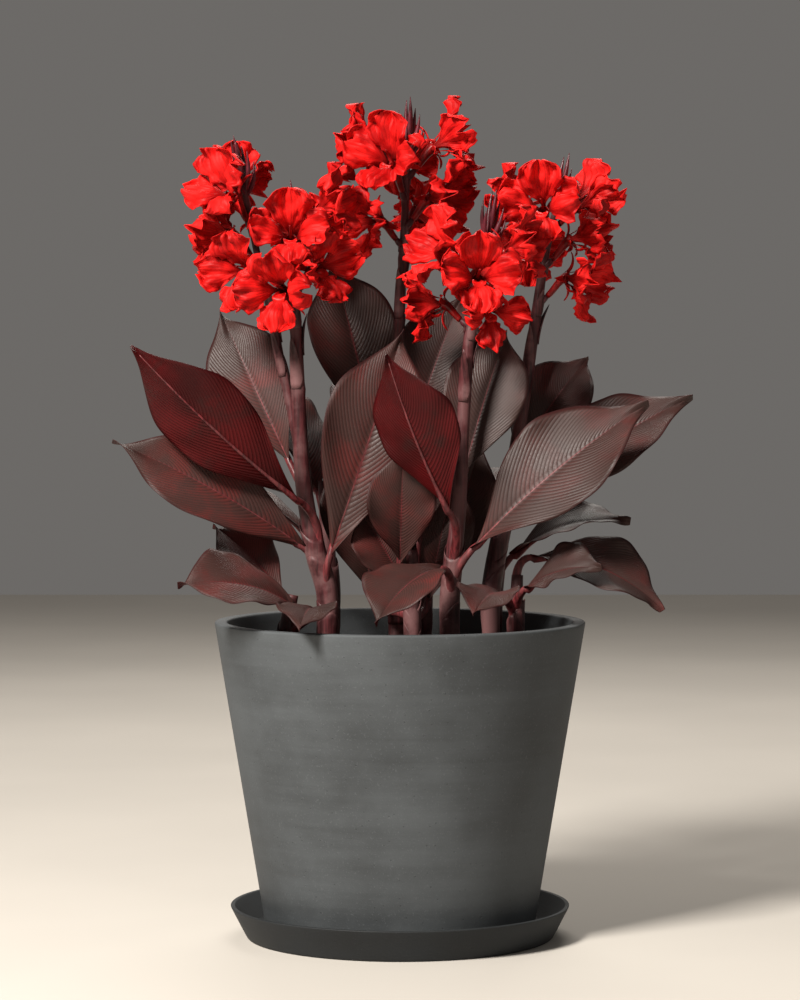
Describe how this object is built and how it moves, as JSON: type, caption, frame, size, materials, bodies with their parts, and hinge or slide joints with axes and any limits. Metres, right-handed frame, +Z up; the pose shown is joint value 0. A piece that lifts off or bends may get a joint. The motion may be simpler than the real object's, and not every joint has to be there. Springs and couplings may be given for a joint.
{
  "type": "potted canna lily",
  "caption": "Flowering canna lily with broad dark leaves and ruffled red blooms on upright stems, grown in a tapered stoneware pot on a matching saucer.",
  "frame": {"origin": "centre of the saucer's underside, on the surface that it stands on", "axes": "+Z up along the pot's axis; the plant is seen from its front when looking along +Y; +X is to the right in that view"},
  "size_m": [0.6979, 0.5388, 1.0229],
  "materials": {
    "stoneware": "matte, softly mottled grey",
    "saucer_stoneware": "matte dark grey",
    "earth": "loose dark potting soil",
    "leaf": "satin dark bronze leaf with maroon undersides",
    "petal": "soft satin red petal"
  },
  "bodies": {
    "root": {"bloom_front_1": "petal", "bloom_front_2": "petal", "bloom_front_3": "petal", "bloom_front_4": "petal", "bloom_front_5": "petal", "bloom_front_6": "petal", "bloom_left_1": "petal", "bloom_left_2": "petal", "bloom_left_3": "petal", "bloom_left_4": "petal", "bloom_left_5": "petal", "bloom_left_6": "petal", "bloom_left_7": "petal", "bloom_left_8": "petal", "bloom_left_9": "petal", "bloom_middle_1": "petal", "bloom_middle_2": "petal", "bloom_middle_3": "petal", "bloom_middle_4": "petal", "bloom_middle_5": "petal", "bloom_middle_6": "petal", "bloom_middle_7": "petal", "bloom_right_1": "petal", "bloom_right_2": "petal", "bloom_right_3": "petal", "bloom_right_4": "petal", "bloom_right_5": "petal", "bloom_right_6": "petal", "leafy_back": "leaf", "leafy_back_left": "leaf", "leafy_back_right": "leaf", "leafy_centre": "leaf", "leafy_left": "leaf", "leafy_right": "leaf", "pot": "stoneware", "saucer": "saucer_stoneware", "shoot_front": "leaf", "shoot_left": "leaf", "shoot_middle": "leaf", "shoot_right": "leaf", "soil": "earth"}
  },
  "joints": []
}
